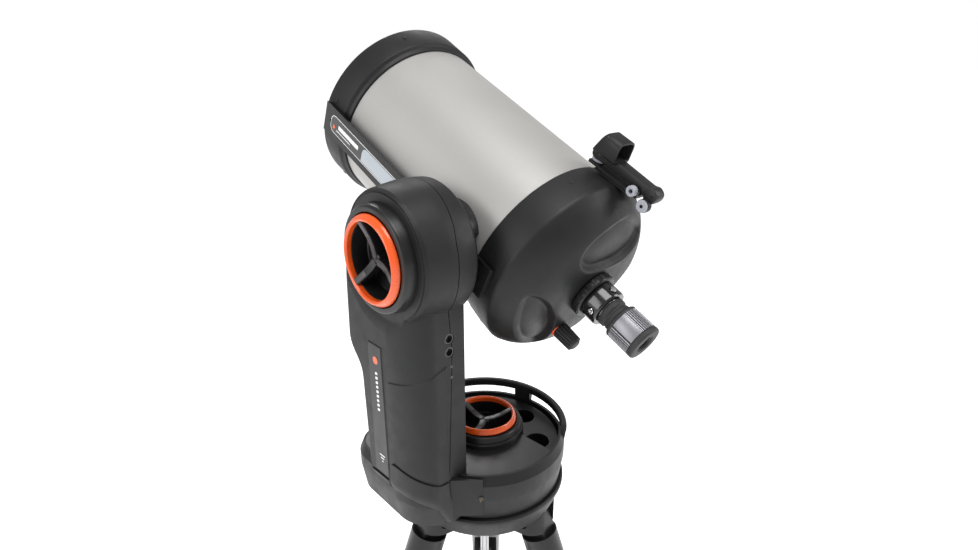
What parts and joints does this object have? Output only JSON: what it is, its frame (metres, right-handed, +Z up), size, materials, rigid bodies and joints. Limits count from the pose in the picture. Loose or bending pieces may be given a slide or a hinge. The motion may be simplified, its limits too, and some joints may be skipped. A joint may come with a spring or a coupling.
{
  "type": "schmidt cassegrain telescope",
  "caption": "Closed-tube reflecting telescope on a single-arm motorised fork with clutch knobs, carry handle, red-dot finder, eyepiece and a folding tripod.",
  "frame": {"origin": "middle of the object's bounding box, on the floor", "axes": "+Z up along the azimuth axis; the tube points to +Y and up at rest; the fork arm is on the -X side of the tube"},
  "size_m": [0.6492, 0.6762, 1.4379],
  "materials": {
    "silver_paint": "satin silver paint",
    "charcoal_plastic": "fine textured charcoal",
    "black_metal": "black anodised",
    "orange_plastic": "glossy orange",
    "black_rubber": "ribbed black rubber",
    "chrome": "polished",
    "steel": "machined",
    "brass": "plain",
    "clear_glass": "coated",
    "mirror": "aluminised",
    "grey_plastic": "light grey",
    "battery": "wrapped cell pack"
  },
  "bodies": {
    "tripod": {"tripod_hub": "black_metal", "hub_fasteners": "steel", "tension_rod": "chrome", "azimuth_base": "black_metal"},
    "spreader": {"spreader": "charcoal_plastic"},
    "spreader_knob": {"spreader_knob": "black_rubber"},
    "azimuth": {"drum_shell": "charcoal_plastic", "carry_handle": "charcoal_plastic", "eyepiece_tray": "charcoal_plastic", "tray_cover": "charcoal_plastic", "azimuth_gear": "brass", "drive_motors": "steel", "axis_bearings": "steel", "arm_inner_shell": "charcoal_plastic", "arm_outer_shell": "charcoal_plastic", "arm_foot_panel": "charcoal_plastic", "arm_sockets": "brass", "battery_pack": "battery", "knob_bezels": "charcoal_plastic"},
    "azimuth_clutch": {"azimuth_knob": "charcoal_plastic", "azimuth_knob_ring": "orange_plastic"},
    "altitude": {"altitude_shaft": "steel", "altitude_hub": "charcoal_plastic", "saddle": "black_metal"},
    "altitude_clutch": {"altitude_knob": "charcoal_plastic", "altitude_knob_ring": "orange_plastic"},
    "saddle_clamp": {"saddle_knob": "orange_plastic"},
    "optical_tube": {"tube": "silver_paint", "front_cell": "charcoal_plastic", "corrector": "clear_glass", "secondary_cell": "charcoal_plastic", "rear_cell": "charcoal_plastic", "baffle_tube": "black_metal", "dovetail_bar": "black_metal", "cell_screws": "steel", "visual_back": "black_metal", "finder_bracket": "charcoal_plastic"},
    "mirror": {"primary_mirror": "mirror"},
    "focus_knob": {"focus_knob": "black_rubber"},
    "lock_ring": {"visual_back_ring": "black_metal"},
    "thumb_screw_1": {"visual_screw_1": "chrome"},
    "thumb_screw_2": {"visual_screw_2": "chrome"},
    "eyepiece": {"eyepiece": "chrome"},
    "finder_cradle": {"finder_cradle": "charcoal_plastic"},
    "finder": {"finder_body": "charcoal_plastic"},
    "finder_tilt_knob": {"finder_tilt_knob": "grey_plastic"},
    "finder_pan_knob": {"finder_pan_knob": "grey_plastic"},
    "finder_power_knob": {"finder_power_knob": "charcoal_plastic"},
    "leg_1": {"leg_tube_1": "black_metal"},
    "leg_lower_1": {"leg_inner_1": "steel", "leg_foot_1": "black_rubber"},
    "leg_lock_1": {"leg_knob_1": "black_rubber"},
    "leg_2": {"leg_tube_2": "black_metal"},
    "leg_lower_2": {"leg_inner_2": "steel", "leg_foot_2": "black_rubber"},
    "leg_lock_2": {"leg_knob_2": "black_rubber"},
    "leg_3": {"leg_tube_3": "black_metal"},
    "leg_lower_3": {"leg_inner_3": "steel", "leg_foot_3": "black_rubber"},
    "leg_lock_3": {"leg_knob_3": "black_rubber"}
  },
  "joints": [
    {"name": "azimuth_turn", "type": "hinge", "parent": "tripod", "child": "azimuth", "pos_m": [0.0538, 0.0336, 0.95], "axis": [0, 0, 1], "continuous": true},
    {"name": "azimuth_clutch_turn", "type": "hinge", "parent": "tripod", "child": "azimuth_clutch", "pos_m": [0.0538, 0.0336, 0.95], "axis": [0, 0, 1], "range_deg": [0, 300]},
    {"name": "altitude_tilt", "type": "hinge", "parent": "azimuth", "child": "altitude", "pos_m": [0.0538, 0.0336, 1.2058], "axis": [1, 0, 0], "range_deg": [-31, 63.9]},
    {"name": "altitude_clutch_turn", "type": "hinge", "parent": "altitude", "child": "altitude_clutch", "pos_m": [-0.0962, 0.0336, 1.2058], "axis": [-1, 0, 0], "range_deg": [0, 300]},
    {"name": "saddle_clamp_turn", "type": "hinge", "parent": "altitude", "child": "saddle_clamp", "pos_m": [-0.0146, 0.06219, 1.14743], "axis": [0, -0.4399, 0.898], "range_deg": [0, 720]},
    {"name": "tube_balance_slide", "type": "slide", "parent": "altitude", "child": "optical_tube", "axis": [0, 0.898, 0.4399], "range_m": [-0.025, 0.008]},
    {"name": "focus_knob_turn", "type": "hinge", "parent": "optical_tube", "child": "focus_knob", "pos_m": [0.09161, -0.07244, 1.09038], "axis": [0, -0.898, -0.4399], "range_deg": [-3600, 3600]},
    {"name": "mirror_focus_slide", "type": "slide", "parent": "optical_tube", "child": "mirror", "axis": [0, 0.898, 0.4399], "range_m": [-0.0075, 0.0075]},
    {"name": "lock_ring_turn", "type": "hinge", "parent": "optical_tube", "child": "lock_ring", "pos_m": [0.1126, -0.09123, 1.14465], "axis": [0, -0.898, -0.4399], "range_deg": [0, 360]},
    {"name": "thumb_screw_1_turn", "type": "hinge", "parent": "optical_tube", "child": "thumb_screw_1", "pos_m": [0.09261, -0.10739, 1.13673], "axis": [-1, 0, 0], "range_deg": [0, 720]},
    {"name": "thumb_screw_2_turn", "type": "hinge", "parent": "optical_tube", "child": "thumb_screw_2", "pos_m": [0.1126, -0.11619, 1.15469], "axis": [0, -0.4399, 0.898], "range_deg": [0, 720]},
    {"name": "eyepiece_slide", "type": "slide", "parent": "optical_tube", "child": "eyepiece", "axis": [0, -0.898, -0.4399], "range_m": [0, 0.028]},
    {"name": "finder_pan", "type": "hinge", "parent": "optical_tube", "child": "finder_cradle", "pos_m": [0.14061, -0.07531, 1.28719], "axis": [0, -0.4399, 0.898], "range_deg": [-3, 3]},
    {"name": "finder_pan_knob_turn", "type": "hinge", "parent": "finder_cradle", "child": "finder_pan_knob", "pos_m": [0.1266, -0.12285, 1.27058], "axis": [-1, 0, 0], "range_deg": [-360, 360]},
    {"name": "finder_tilt", "type": "hinge", "parent": "finder_cradle", "child": "finder", "pos_m": [0.14061, -0.12285, 1.27058], "axis": [1, 0, 0], "range_deg": [-0.5, 3]},
    {"name": "finder_tilt_knob_turn", "type": "hinge", "parent": "finder_cradle", "child": "finder_tilt_knob", "pos_m": [0.14061, -0.0663, 1.29606], "axis": [0, -0.4399, 0.898], "range_deg": [-60, 360]},
    {"name": "finder_power_turn", "type": "hinge", "parent": "finder", "child": "finder_power_knob", "pos_m": [0.1306, -0.13706, 1.25638], "axis": [-1, 0, 0], "range_deg": [0, 270]},
    {"name": "leg_1_fold", "type": "hinge", "parent": "tripod", "child": "leg_1", "pos_m": [0.107, 0.09064, 0.815], "axis": [-0.7314, 0.682, 0], "range_deg": [0, 9]},
    {"name": "leg_1_extend", "type": "slide", "parent": "leg_1", "child": "leg_lower_1", "axis": [0.2277, 0.2441, -0.9426], "range_m": [0, 0.3]},
    {"name": "leg_1_lock_turn", "type": "hinge", "parent": "leg_1", "child": "leg_lock_1", "pos_m": [0.24928, 0.24321, 0.34572], "axis": [0.6429, 0.6894, 0.3338], "range_deg": [0, 360]},
    {"name": "leg_2_fold", "type": "hinge", "parent": "tripod", "child": "leg_2", "pos_m": [-0.0222, 0.05114, 0.815], "axis": [-0.225, -0.9744, 0], "range_deg": [0, 9]},
    {"name": "leg_2_extend", "type": "slide", "parent": "leg_2", "child": "leg_lower_2", "axis": [-0.3253, 0.0751, -0.9426], "range_m": [0, 0.3]},
    {"name": "leg_2_lock_turn", "type": "hinge", "parent": "leg_2", "child": "leg_lock_2", "pos_m": [-0.22546, 0.09807, 0.34572], "axis": [-0.9185, 0.212, 0.3338], "range_deg": [0, 360]},
    {"name": "leg_3_fold", "type": "hinge", "parent": "tripod", "child": "leg_3", "pos_m": [0.07661, -0.04099, 0.815], "axis": [0.9563, 0.2924, 0], "range_deg": [0, 9]},
    {"name": "leg_3_extend", "type": "slide", "parent": "leg_3", "child": "leg_lower_3", "axis": [0.0976, -0.3192, -0.9426], "range_m": [0, 0.3]},
    {"name": "leg_3_lock_turn", "type": "hinge", "parent": "leg_3", "child": "leg_lock_3", "pos_m": [0.1376, -0.24049, 0.34572], "axis": [0.2756, -0.9015, 0.3338], "range_deg": [0, 360]},
    {"name": "spreader_lower", "type": "slide", "parent": "tripod", "child": "spreader", "axis": [0, 0, -1], "range_m": [0, 0.181]},
    {"name": "spreader_knob_turn", "type": "hinge", "parent": "spreader", "child": "spreader_knob", "pos_m": [0.0538, 0.0336, 0.585], "axis": [0, 0, 1], "range_deg": [0, 360]}
  ],
  "couplings": [
    {"joint": "leg_2_fold", "follows": "leg_1_fold", "ratio": 1},
    {"joint": "leg_3_fold", "follows": "leg_1_fold", "ratio": 1},
    {"joint": "spreader_lower", "follows": "leg_1_fold", "m_per_rad": 1.1459},
    {"joint": "focus_knob_turn", "follows": "mirror_focus_slide", "rad_per_m": 8377.6},
    {"joint": "finder_pan_knob_turn", "follows": "finder_pan", "ratio": 120},
    {"joint": "finder_tilt_knob_turn", "follows": "finder_tilt", "ratio": 120}
  ]
}
